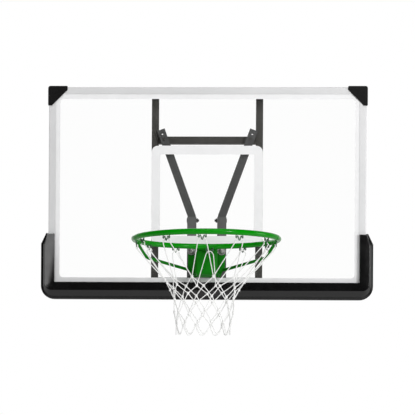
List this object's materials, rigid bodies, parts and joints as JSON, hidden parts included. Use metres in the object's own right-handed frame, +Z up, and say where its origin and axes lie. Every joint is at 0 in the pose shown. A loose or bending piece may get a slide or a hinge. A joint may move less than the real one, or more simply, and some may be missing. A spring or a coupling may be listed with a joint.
{
  "type": "basketball hoop",
  "caption": "Wall-hung basketball hoop: clear rectangular board in a light frame, padded lower edge, sprung ring that tips down under load, and a corded net.",
  "frame": {"origin": "centre of the upper crossbar's rear face, which lies against the wall", "axes": "+Z up, +Y into the wall, +X to the right as seen by a player facing the board"},
  "size_m": [1.1732, 0.6746, 0.8877],
  "materials": {
    "clear_plastic": "clear and glossy",
    "white_ink": "printed, satin",
    "light_aluminium": "satin anodised",
    "black_plastic": "satin",
    "black_foam": "moulded skin, satin",
    "dark_steel": "powder coat, satin",
    "zinc": "zinc plated",
    "green_paint": "glossy powder coat",
    "spring_steel": "oiled",
    "white_cord": "braided cord"
  },
  "bodies": {
    "board": {"board_panel": "clear_plastic", "border_print": "white_ink", "target_print": "white_ink", "rail_top": "light_aluminium", "rail_bottom": "light_aluminium", "rail_left": "light_aluminium", "rail_right": "light_aluminium", "corner_cap_left": "black_plastic", "corner_cap_right": "black_plastic", "bottom_pad": "black_foam", "upright_left": "dark_steel", "upright_right": "dark_steel", "crossbar_upper": "dark_steel", "crossbar_lower": "dark_steel", "ring_post_left": "dark_steel", "ring_post_right": "dark_steel", "strut_left": "dark_steel", "strut_right": "dark_steel", "strut_head_bolt_left": "dark_steel", "strut_head_bolt_right": "dark_steel", "strut_head_nut_left": "zinc", "strut_head_nut_right": "zinc", "strut_foot_bolt_left": "dark_steel", "strut_foot_bolt_right": "dark_steel", "strut_foot_nut_left": "dark_steel", "strut_foot_nut_right": "dark_steel", "post_foot_screw_left": "zinc", "post_foot_screw_right": "zinc", "post_foot_nut_left": "zinc", "post_foot_nut_right": "zinc", "upright_bolt_top_left": "zinc", "upright_bolt_top_right": "zinc", "upright_bolt_bottom_left": "zinc", "upright_bolt_bottom_right": "zinc", "upright_nut_top_left": "zinc", "upright_nut_top_right": "zinc", "upright_nut_bottom_left": "zinc", "upright_nut_bottom_right": "zinc", "mount_plate": "green_paint", "ring_bolt_left": "zinc", "ring_bolt_right": "zinc", "ring_washer_left": "zinc", "ring_washer_right": "zinc", "ring_nut_left": "zinc", "ring_nut_right": "zinc", "hinge_pin": "zinc", "hinge_clip": "zinc", "spring_stud": "zinc", "spring_washer": "zinc", "spring_nut": "zinc", "breakaway_spring": "spring_steel"},
    "ring": {"ring_bracket": "green_paint", "spring_cover": "green_paint", "ring_hoop": "green_paint", "brace_left": "green_paint", "brace_right": "green_paint", "net": "white_cord"}
  },
  "joints": [
    {"name": "ring_hinge", "type": "hinge", "parent": "board", "child": "ring", "pos_m": [0, -0.0716, -0.4832], "axis": [1, 0, 0], "range_deg": [0, 25], "stiffness_Nm_per_rad": 200, "springref_deg": -22.92, "deforming": ["breakaway_spring"]}
  ]
}
